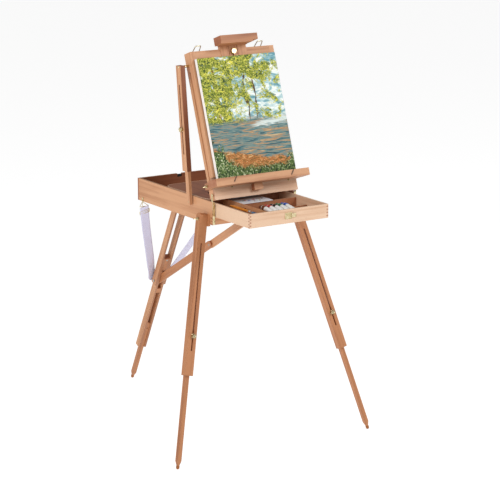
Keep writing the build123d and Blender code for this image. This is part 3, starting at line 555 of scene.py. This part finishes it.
# leaves with shaded and sunlit clumps, thicker at the top left
leaves = lay(paint["leaves"], hex_colour("#26401A"), 0.55, 0.68, strokes(30, 22, 15.1))
leaves = lay(leaves, hex_colour("#DCD54A"), 0.56, 0.66, strokes(26, 16, 21.7, 4.0))
colour = lay(colour, leaves, 0.74, 0.8, clump, (across_face, -0.62), (up_face, 0.34), (leaf, 0.62))
# a slanting streak of light on the water, which fades out to the left
glint = up_face
for part, weight in ((across_face, -0.12), (strokes(60, 5, 12.5), 0.06)):
    glint = add(tree, "ShaderNodeMath", {0: part, 1: weight, 2: glint}, operation="MULTIPLY_ADD").outputs[0]
glint = add(tree, "ShaderNodeMath", {0: glint, 1: 0.19}, operation="SUBTRACT").outputs[0]
glint = add(tree, "ShaderNodeMath", {0: glint}, operation="ABSOLUTE").outputs[0]
fade = add(
    tree, "ShaderNodeMapRange", {"Value": across_face, "From Min": 0.26, "From Max": 0.08},
    interpolation_type="SMOOTHSTEP",
).outputs[0]
water = lay(hex_colour("#D3DFDA"), paint["water"], 0.004, 0.018, glint, (fade, 0.03))
colour = lay(water, colour, 0.222, 0.246, up_face, (clump, 0.05))
colour = lay(paint["bank"], colour, 0.138, 0.146, up_face, (clump, 0.05), (across_face, 0.17), (leaf, 0.03))
# growth along the bottom and up both sides
for low, high, parts in (
    (-0.035, -0.018, ((leaf, -0.07), (clump, -0.05))),
    (-0.09, -0.06, ((across_face, 1.2), (leaf, -0.12), (clump, -0.3))),
    (-0.46, -0.44, ((across_face, -1.1), (leaf, -0.1), (clump, -0.2))),
):
    colour = lay(paint["growth"], colour, low, high, up_face, *parts)
colour = lay(colour, hex_colour("#F3F1EC"), 0.0006, 0.0012, into_face)
tree.links.new(colour, shader.inputs["Base Color"])
shader.inputs["Roughness"].default_value = 0.55
shader.inputs["Specular IOR Level"].default_value = 0.3
# the weave is drawn at 1.2 mm, about twice its real pitch, so that it shows
weave = add(tree, "ShaderNodeTexVoronoi", {"Vector": face.outputs[0], "Scale": 1 / (1.2 * MM)})
relief = add(
    tree, "ShaderNodeMath", {0: leaf, 1: 2.5, 2: weave.outputs["Distance"]}, operation="MULTIPLY_ADD"
)
bump = add(tree, "ShaderNodeBump", {"Height": relief.outputs[0], "Strength": 0.3, "Distance": 0.5 * MM})
tree.links.new(bump.outputs[0], shader.inputs["Normal"])


def brick(bm, low, high):
    """Adds a block between two corners and returns its corners' vertices."""
    middle = [(a + b) / 2 for a, b in zip(low, high)]
    size = [b - a for a, b in zip(low, high)]
    place = Matrix.Translation(middle) @ Matrix.Diagonal((*size, 1))
    return bmesh.ops.create_cube(bm, size=1, matrix=place)["verts"]


def soften(bm, offset, segments=2):
    """Rounds every sharp edge of a mesh."""
    sharp = [edge for edge in bm.edges if len(edge.link_faces) == 2 and edge.calc_face_angle(0) > 0.5]
    bmesh.ops.bevel(bm, geom=sharp, offset=offset, segments=segments, affect="EDGES")


front = canvas_back - canvas_deep
bm = bmesh.new()
brick(bm, (-canvas_half, front, canvas_low), (canvas_half, front + 1.2, canvas_high))
for low, high in (
    ((-canvas_half, canvas_low), (-canvas_half + 1, canvas_high)),
    ((canvas_half - 1, canvas_low), (canvas_half, canvas_high)),
    ((-canvas_half, canvas_low), (canvas_half, canvas_low + 1)),
    ((-canvas_half, canvas_high - 1), (canvas_half, canvas_high)),
):
    brick(bm, (low[0], front, low[1]), (high[0], canvas_back, high[1]))
bmesh.ops.remove_doubles(bm, verts=bm.verts, dist=0.01)
soften(bm, 0.4)
make("canvas_cloth", bm, lid, painting, "canvas", slot="canvas", stands_for=("canvas",))
pine = beech("pine stretcher bars", lid_up, "#E6D0A8", "#CDA877", 3.3, gloss=0.6)
bm = bmesh.new()
for x in (-canvas_half + 1.5, canvas_half - 39.5):
    brick(bm, (x, front + 2, canvas_low + 1.5), (x + 38, canvas_back - 0.3, canvas_high - 1.5))
for z in (canvas_low + 1.5, canvas_high - 39.5):
    brick(bm, (-canvas_half + 40, front + 2.2, z), (canvas_half - 40, canvas_back - 0.5, z + 38))
soften(bm, 0.6)
make("canvas_stretcher", bm, lid, pine, "canvas", slot="beech")


# ---- In the drawer -------------------------------------------------------------------------------
# A white enamelled mixing tray with dabs of paint on it, five foil tubes with coloured caps, and a
# flat brush with an orange handle.
def coated(name, colour, shade, rough, grit, bumpy=0.1):
    """Paint, plastic or rubber with a fine even texture."""
    material, tree, shader = new_material(name)
    place = add(tree, "ShaderNodeTexCoord").outputs["Object"]
    speck = add(tree, "ShaderNodeTexNoise", {"Vector": place, "Scale": 1 / grit, "Detail": 3.0})
    speck = speck.outputs["Fac"]
    tint = add(tree, "ShaderNodeValToRGB", {"Fac": speck}, [(0.3, shade), (0.7, colour)])
    tree.links.new(tint.outputs[0], shader.inputs["Base Color"])
    shader.inputs["Roughness"].default_value = rough
    bump = add(tree, "ShaderNodeBump", {"Height": speck, "Strength": bumpy, "Distance": 0.2 * MM})
    tree.links.new(bump.outputs[0], shader.inputs["Normal"])
    return material


drawer_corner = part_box("drawer_front")[0]
drawer = Matrix.Translation((0, drawer_corner[1], drawer_corner[2])) @ Matrix.Diagonal((MM, MM, MM, 1))
enamel_white = coated("white enamel", "#F4F3F6", "#E4E3E9", 0.25, 9 * MM, 0.02)
bm = bmesh.new()
brick(bm, (-82, 198, 44), (60, 308, 45.3))
for low, high in (
    ((-82, 198), (60, 200)), ((-82, 306), (60, 308)), ((-82, 198), (-80, 308)), ((58, 198), (60, 308)),
):
    brick(bm, (low[0], low[1], 44), (high[0], high[1], 46.5))
for x in (-82, 54):
    brick(bm, (x, 207, 7), (x + 6, 308, 44))
soften(bm, 0.5)
make("mixing_tray_sheet", bm, drawer, enamel_white, "drawer",
     slot="mixing_tray", stands_for=("mixing_tray",))
paints = {
    "umber": "#6A3B22", "red": "#B8322A", "black": "#1C1C1E", "green": "#2E7048", "blue": "#2A56B0",
    "ochre": "#C98E2E",
}
oils = {word: coated(f"{word} oil paint", code, code, 0.35, 3 * MM, 0.4) for word, code in paints.items()}
chance = random.Random(11)
for count, word in enumerate(("green", "red", "blue", "umber", "red", "green", "ochre", "black")):
    bm = bmesh.new()
    bmesh.ops.create_icosphere(bm, subdivisions=3, radius=1)
    wide, long = chance.uniform(3.0, 6.0), chance.uniform(2.4, 5.0)
    for vert in bm.verts:
        ripple = 1 + 0.22 * math.sin(3 * math.atan2(vert.co.y, vert.co.x) + count)
        vert.co = Vector((vert.co.x * wide * ripple, vert.co.y * long * ripple, vert.co.z * 1.1))
    spot_at = (-48 + 13 * count + chance.uniform(-3, 3), 222 + chance.uniform(0, 46), 45.5)
    make(f"paint_dab_{count}", bm, drawer @ Matrix.Translation(spot_at), oils[word], "drawer",
         slot="mixing_tray")

foil = metal("aluminium tube foil", "#F1F1F1", "#D0D2D4", 0.34, 6 * MM)
label = coated("white printed foil", "#F3F2EF", "#E2E1DE", 0.42, 4 * MM, 0.04)
tube_sides = 28
for count, word in enumerate(("umber", "red", "black", "green", "blue")):
    middle = Matrix.Translation((-26 + 24 * count, 0, 36.3))
    bm = bmesh.new()
    rings = []
    # from the folded crimp at the front to the round shoulder at the back
    for y, wide, high in ((58, 11.2, 1.2), (63, 11.2, 1.2), (64, 11.0, 0.9), (78, 10.6, 3.6), (98, 9.9, 6.6),
                          (122, 9.4, 8.9), (138, 9.2, 9.2), (141, 7.2, 7.2), (143, 5.0, 5.0)):
        rings.append([
            bm.verts.new((
                wide * math.cos(2 * math.pi * i / tube_sides), y,
                high * math.sin(2 * math.pi * i / tube_sides) - (9.3 - high) * 0.7,
            ))
            for i in range(tube_sides)
        ])
    for low, high in zip(rings, rings[1:]):
        for i in range(tube_sides):
            bm.faces.new((low[i], low[(i + 1) % tube_sides], high[(i + 1) % tube_sides], high[i]))
    bm.faces.new(rings[0])
    bm.faces.new(rings[-1])
    stands = {"stands_for": ("paint_tubes",)} if count == 0 else {}
    make(f"paint_tube_{word}", bm, drawer @ middle, label, "drawer", slot="tube_foil", **stands)
    bm = bmesh.new()
    lathe(bm, [(7.0, 0), (7.4, 0.8), (7.0, 13), (6.2, 14.6), (4.5, 15)], sides=36, knurl=(1, 2))
    lathe(bm, [(9.45, -24), (9.5, -23), (9.5, -8), (9.45, -7)], sides=32)
    way = Matrix.Translation((0, 142.6, 0)) @ Matrix.Rotation(math.radians(-90), 4, "X")
    make(f"paint_tube_cap_{word}", bm, drawer @ middle @ way, oils[word], "drawer", slot="tube_foil")

brush_at = Matrix.Translation((-125.5, 210, 44.4)) @ Matrix.Rotation(math.radians(90), 4, "X")
orange = coated("orange lacquered beech", "#DE8F2C", "#C4741C", 0.3, 8 * MM, 0.03)
bm = bmesh.new()
lathe(bm, [(1.6, 0), (2.8, 3), (4.6, 30), (4.9, 70), (4.0, 115), (3.6, 130)], sides=24)
make("brush_handle", bm, drawer @ brush_at, orange, "drawer", slot="beech", stands_for=("brush",))
bm = bmesh.new()
lathe(bm, [(4.1, 128), (4.3, 130), (4.3, 134), (4.1, 135)], sides=24)
lathe(bm, [(4.1, 135), (5.2, 146), (6.2, 156)], sides=24, squash=(1.25, 0.55))
make("brush_ferrule", bm, drawer @ brush_at, foil, "drawer", slot="steel")
bristle, tree, shader = new_material("blue synthetic bristle")
hair = add(tree, "ShaderNodeTexCoord").outputs["Object"]
hair = add(tree, "ShaderNodeMapping", {"Vector": hair}, vector_type="TEXTURE")
hair.inputs["Scale"].default_value = (0.5 * MM, 30 * MM, 0.5 * MM)
hair = add(tree, "ShaderNodeTexNoise", {"Vector": hair.outputs[0], "Scale": 1.0}).outputs["Fac"]
tint = add(tree, "ShaderNodeValToRGB", {"Fac": hair}, [(0.35, "#123049"), (0.65, "#3C7BB0")])
tree.links.new(tint.outputs[0], shader.inputs["Base Color"])
shader.inputs["Roughness"].default_value = 0.5
bump = add(tree, "ShaderNodeBump", {"Height": hair, "Strength": 0.5, "Distance": 0.4 * MM})
tree.links.new(bump.outputs[0], shader.inputs["Normal"])
bm = bmesh.new()
lathe(bm, [(6.0, 155), (6.8, 170), (7.0, 182), (6.2, 192)], sides=24, squash=(1.25, 0.42))
make("brush_bristles", bm, drawer @ brush_at, bristle, "drawer", slot="dark_wire")


# ---- Palette edge --------------------------------------------------------------------------------
# The thin beech palette's face takes the darker inner tone as painted shade, and a pale strip round its
# rounded edge is a painted highlight.
palette_low, palette_high = (Vector(corner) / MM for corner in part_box("palette"))
# painted highlight: a pale beech strip laid round the palette's edge
edge_highlight = beech("rubbed beech edge", Vector((0, 1, 0)), "#E6C3A6", "#D6A988", 5.1)
bm = bmesh.new()
edge_x, level = palette_high.x - 1.5, palette_high.z - 0.4
edge_points = [(-edge_x, palette_low.y + 1.5), (edge_x, palette_low.y + 1.5), (edge_x, palette_high.y - 1.5),
               (-edge_x, palette_high.y - 1.5)]
wire(bm, [(x, y, level) for x, y in edge_points], 1.4, 47, closed=True)
make("palette_edge", bm, Matrix.Diagonal((MM, MM, MM, 1)), edge_highlight, "box", slot="plywood")


# ---- Feet and carry handle -----------------------------------------------------------------------
# Amber rubber balls pressed on the leg tips, and a black moulded handle with finger ribs, which
# hangs on two brass pins behind the box.
amber_rubber = coated("amber rubber", "#A9662B", "#7E4516", 0.62, 1.5 * MM)
for node in ("foot_leg_left", "foot_leg_right", "foot_leg_rear"):
    frame["nodes"][node].data.materials.clear()
    frame["nodes"][node].data.materials.append(amber_rubber)
black_plastic = coated("black moulded plastic", "#1E1D1D", "#0F0F0F", 0.5, 0.8 * MM)
hang = Vector(joints["handle_swing"]["pos_m"])
bm = bmesh.new()
wire(bm, [(-46, 0, 2), (-46, 0, -26), (46, 0, -26), (46, 0, 2)], 3.6, 12)
for x in range(-30, 31, 6):
    wire(bm, [(x - 1.6, 0, -26), (x + 1.6, 0, -26)], 5.0)
for side in (-1, 1):
    wire(bm, [(side * 41.6, 0, 0), (side * 50.4, 0, 0)], 4.6)
make("carry_handle_moulded", bm, axes(hang, Vector((0, 0, 1)), ACROSS), black_plastic, "handle",
     slot="handle_plastic", stands_for=("carry_handle",))
bm = bmesh.new()
rear_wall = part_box("box_rear_wall")
notch_y, notch_z = (rear_wall[0][1] + rear_wall[1][1]) / 2 / MM, rear_wall[1][2] / MM
brick(bm, (-10.5, notch_y - 3.4, notch_z - 13.5), (10.5, notch_y + 3.4, notch_z - 3))
soften(bm, 1.0)
make("rear_catch", bm, Matrix.Diagonal((MM, MM, MM, 1)), black_plastic, "box", slot="handle_plastic")


# ---- Webbing strap -------------------------------------------------------------------------------
# One length of woven polyester webbing hangs from a wire triangle on the left wall, runs round behind
# the rear leg and comes back to the underside of the box, to carry the folded easel by.
front_y = lid_pivot.y / MM
strap_stops = [
    ((-183.2, 519, 848), (1, 0, 0)), ((-146, 573, 762), (1, 0.1, 0.1)), ((-66, 681, 592), (1, 0.1, 0.25)),
    ((-38, 720, 530), (0.8, 0.1, 0.6)), ((-22, 741, 497), (0.2, -0.4, 0.9)),
    ((0, 744, 492), (0, -0.451, 0.893)), ((38, 741.5, 494), (-0.3, -0.4, 0.9)),
    ((50, 722, 511), (-0.85, -0.3, 0.5)), ((50, 676, 549), (-1, 0, 0)),
    ((49, 540, 673), (-1, 0, 0)), ((48, 400, 806), (-1, 0, 0)), ((48, 338, 864), (-1, 0, 0)),
]
strap_half, strap_step = 19.0, 6.0
knots = [Vector((x, y + front_y, z)) for (x, y, z), _ in strap_stops]
turns = [Vector(way).normalized() for _, way in strap_stops]
line, across_line = [], []
for i in range(len(knots) - 1):
    before, after = knots[max(i - 1, 0)], knots[min(i + 2, len(knots) - 1)]
    a, b = knots[i], knots[i + 1]
    steps = max(2, round((b - a).length / strap_step))
    for k in range(steps):
        t = k / steps
        line.append(0.5 * (2 * a + (b - before) * t + (2 * before - 5 * a + 4 * b - after) * t * t
                           + (3 * a - before - 3 * b + after) * t ** 3))
        across_line.append(turns[i].lerp(turns[i + 1], t * t * (3 - 2 * t)).normalized())
line.append(knots[-1])
across_line.append(turns[-1])
bm = bmesh.new()
columns = 9
grid = []
for i, (p, way) in enumerate(zip(line, across_line)):
    along = (line[min(i + 1, len(line) - 1)] - line[max(i - 1, 0)]).normalized()
    way = (way - along * way.dot(along)).normalized()
    grid.append([bm.verts.new(p + way * strap_half * (2 * k / (columns - 1) - 1)) for k in range(columns)])
uv = bm.loops.layers.uv.new("cloth")
runs = [0.0]
for a, b in zip(line, line[1:]):
    runs.append(runs[-1] + (b - a).length)
for i in range(len(grid) - 1):
    for k in range(columns - 1):
        quad = bm.faces.new((grid[i][k], grid[i][k + 1], grid[i + 1][k + 1], grid[i + 1][k]))
        spots = ((k, i), (k + 1, i), (k + 1, i + 1), (k, i + 1))
        for loop, (kk, ii) in zip(quad.loops, spots):
            loop[uv].uv = (kk / (columns - 1) * 2 * strap_half * MM, runs[ii] * MM)
webbing, tree, shader = new_material("woven polyester webbing")
thread = add(tree, "ShaderNodeUVMap", uv_map="cloth").outputs[0]
# ribs are drawn at 2.4 mm, a little coarser than the real weave, so that they show
ribs = [
    add(
        tree, "ShaderNodeTexWave",
        {"Vector": thread, "Scale": math.tau / 20 / (pitch * MM), "Distortion": 0.3}, bands_direction=way,
    ).outputs["Fac"]
    for pitch, way in ((2.4, "Y"), (2.0, "X"))
]
both = add(tree, "ShaderNodeMath", {0: ribs[0], 1: ribs[1]}, operation="MULTIPLY").outputs[0]
tint = add(tree, "ShaderNodeValToRGB", {"Fac": both}, [(0.0, "#C6C4DE"), (0.6, "#E4E2F3")])
tree.links.new(tint.outputs[0], shader.inputs["Base Color"])
shader.inputs["Roughness"].default_value = 0.8
shader.inputs["Sheen Weight"].default_value = 0.25
bump = add(tree, "ShaderNodeBump", {"Height": both, "Strength": 0.4, "Distance": 0.4 * MM})
tree.links.new(bump.outputs[0], shader.inputs["Normal"])
strap = make("strap_webbing", bm, Matrix.Diagonal((MM, MM, MM, 1)), webbing, "box",
             slot="webbing", stands_for=("strap",))
solid = strap.modifiers.new("thickness", "SOLIDIFY")
solid.thickness, solid.offset = 1.3 * MM, 0

hook = Vector((-191.2, 519 + front_y, 866)) * MM
bm = bmesh.new()
wire(bm, [(0, 0, 3), (8 - 21, 0, -17), (8 + 21, 0, -17)], 1.3, 3, closed=True)
make("strap_triangle", bm, axes(hook, Vector((0, 0, 1)), ACROSS), brass, "box", slot="brass")
slider = (knots[0] * 0.72 + knots[1] * 0.28) * MM
bm = bmesh.new()
wire(bm, [(-21, 0, -9), (21, 0, -9), (21, 0, 9), (-21, 0, 9)], 1.5, 3, closed=True)
wire(bm, [(-21, 0, 0), (21, 0, 0)], 1.4)
make("strap_slider", bm, axes(slider, (knots[0] - knots[1]).normalized(), ACROSS), brass, "box", slot="brass")


# ---- Screws and bolts ----------------------------------------------------------------------------
# Raised countersunk screws hold the brass straps, the hasp and the brace. One tree sets them all: a domed
# head with two crossed dark bars, painted shade standing in for the cross slot, on every point of a set,
# turned to face the way the point says.
# painted shade: this dark colour on the cross bars stands in for the shade inside the cross slot
recess_shade = coated("dark screw recess", "#3A2F1C", "#1E180E", 0.6, 1 * MM, 0.1)
heads = bpy.data.node_groups.new("screw heads", "GeometryNodeTree")
heads.is_modifier = True
heads.interface.new_socket("Points", in_out="INPUT", socket_type="NodeSocketGeometry")
size_socket = heads.interface.new_socket("Head radius", in_out="INPUT", socket_type="NodeSocketFloat")
metal_socket = heads.interface.new_socket("Metal", in_out="INPUT", socket_type="NodeSocketMaterial")
heads.interface.new_socket("Screws", in_out="OUTPUT", socket_type="NodeSocketGeometry")
given = add(heads, "NodeGroupInput")
radius = given.outputs["Head radius"]
scaled = {
    part: add(heads, "ShaderNodeMath", {0: radius, 1: factor}, operation="MULTIPLY").outputs[0]
    for part, factor in (("top", 0.62), ("height", 0.42), ("long", 1.05), ("thin", 0.2), ("sink", 0.3))
}
dome = add(
    heads, "GeometryNodeMeshCone",
    {"Vertices": 20, "Radius Top": scaled["top"], "Radius Bottom": radius, "Depth": scaled["height"]},
)
bars = add(heads, "GeometryNodeJoinGeometry")
for order in ("XY", "YX"):
    long_side, thin_side = ("X", "Y") if order == "XY" else ("Y", "X")
    size = add(
        heads, "ShaderNodeCombineXYZ",
        {long_side: scaled["long"], thin_side: scaled["thin"], "Z": scaled["sink"]},
    )
    bar = add(heads, "GeometryNodeMeshCube", {"Size": size.outputs[0]})
    lift = add(heads, "ShaderNodeCombineXYZ", {"Z": scaled["sink"]})
    bar = add(
        heads, "GeometryNodeTransform", {"Geometry": bar.outputs["Mesh"], "Translation": lift.outputs[0]}
    )
    heads.links.new(bar.outputs[0], bars.inputs[0])
bars = add(
    heads, "GeometryNodeStoreNamedAttribute", {"Geometry": bars.outputs[0], "Name": "cut", "Value": True},
    data_type="BOOLEAN", domain="FACE",
)
screw = add(heads, "GeometryNodeJoinGeometry")
heads.links.new(dome.outputs["Mesh"], screw.inputs[0])
heads.links.new(bars.outputs[0], screw.inputs[0])
facing = add(heads, "GeometryNodeInputNamedAttribute", {"Name": "facing"}, data_type="FLOAT_VECTOR")
aim = add(heads, "FunctionNodeAlignRotationToVector", {"Vector": facing.outputs["Attribute"]}, axis="Z")
copies = add(
    heads, "GeometryNodeInstanceOnPoints",
    {"Points": given.outputs["Points"], "Instance": screw.outputs[0], "Rotation": aim.outputs[0]},
)
real = add(heads, "GeometryNodeRealizeInstances", {"Geometry": copies.outputs[0]})
whole = add(
    heads, "GeometryNodeSetMaterial", {"Geometry": real.outputs[0], "Material": given.outputs["Metal"]}
)
# the bars stored as cut take the painted shade colour
cut = add(heads, "GeometryNodeInputNamedAttribute", {"Name": "cut"}, data_type="BOOLEAN")
whole = add(
    heads, "GeometryNodeSetMaterial",
    {"Geometry": whole.outputs[0], "Selection": cut.outputs["Attribute"], "Material": recess_shade},
)
add(heads, "NodeGroupOutput", {"Screws": whole.outputs[0]})


def set_screws(name, spots, radius, body, metal_used=brass):
    """Screw heads at (point in metres, way it faces), as one plain mesh on a body."""
    mesh = bpy.data.meshes.new(name)
    mesh.from_pydata([p for p, _ in spots], [], [])
    facing = mesh.attributes.new("facing", "FLOAT_VECTOR", "POINT")
    for item, (_, way) in zip(facing.data, spots):
        item.vector = way
    points = bpy.data.objects.new(name, mesh)
    bpy.context.scene.collection.objects.link(points)
    modifier = points.modifiers.new("screws", "NODES")
    modifier.node_group = heads
    modifier[size_socket.identifier] = radius * MM
    modifier[metal_socket.identifier] = metal_used
    bpy.context.view_layer.update()
    done = bpy.data.meshes.new_from_object(points.evaluated_get(bpy.context.evaluated_depsgraph_get()))
    bpy.data.objects.remove(points)
    screws = bpy.data.objects.new(name, done)
    bpy.context.scene.collection.objects.link(screws)
    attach(screws, body)
    return screws


ahead = Vector((0, -1, 0))
front_m, box_low = lid_pivot.y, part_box("box_front_rail")[0][2]
strap_screws = [
    (Vector((side * 0.183, front_m - 0.0022, box_low + z * MM)), ahead)
    for side in (-1, 1) for z in (14, 44, 76)
]
set_screws("hinge_strap_screws", strap_screws, 2.6, "box")
set_screws("hasp_screws", [(drawer @ Vector((-13, -1.7, z)), ahead) for z in (23, 35)], 2.2, "drawer")
set_screws("hasp_leaf_rivets", [(drawer @ Vector((22, -3.0, 29)), ahead)], 2.0, "hasp")
set_screws("lid_panel_screws", [(lid @ Vector((x, -13.1, 22)), -lid_back) for x in (-105, 150)], 4.6, "lid")
lug_y = rear_wall[1][1] + 0.0145
lug_screws = [(Vector((side * 0.055, lug_y, hang.z)), -ahead) for side in (-1, 1)]
set_screws("handle_lug_screws", lug_screws, 2.2, "box")
foot = Vector(joints["brace_left_swing"]["pos_m"])
foot.x = -0.1912
set_screws("brace_foot_screw", [(foot + brace_out * 0.01195, brace_out)], 3.2, "brace_stick_left")
top = Vector(joints["brace_left_knob_turn"]["pos_m"]) + brace_way * 0.235
set_screws("brace_bolt_head", [(top + brace_out * 0.0197, brace_out)], 4.4, "brace_channel_left")
# a sleeve on the lid's rail takes a pin on the channel, which slides in as the lid closes
gap = abs(top.x) / MM - 185.5
sleeve = gap - 7.5
bm = bmesh.new()
lathe(bm, [(3.6, sleeve - 8), (3.6, sleeve), (5.0, sleeve), (5.0, 0.1)], sides=24)
make("brace_sleeve", bm, axes(Vector((-0.1855, top.y, top.z)), -ACROSS, lid_up), brass, "lid", slot="brass")
bm = bmesh.new()
lathe(bm, [(3.0, -7.2), (3.0, 0.5)], sides=20)
make("brace_pin", bm, axes(top, -ACROSS, lid_up), brass, "brace_channel_left", slot="brass")

# the pin of the strut's knuckle, and a bolt in the rear leg's block
knuckle = upper_end + (lower_end - upper_end).normalized() * 0.291
block = Vector(joints["rear_leg_fold"]["pos_m"]) - rear_way * 0.300
for name, at, way, size, body_name in (
    ("knuckle_pin_left", knuckle - ACROSS * 0.0082, -ACROSS, 4.6, "strut_lower"),
    ("block_bolt", block - rear_out * 0.0152, -rear_out, 4.2, "rear_leg"),
):
    set_screws(name, [(at, way)], size, body_name, steel)
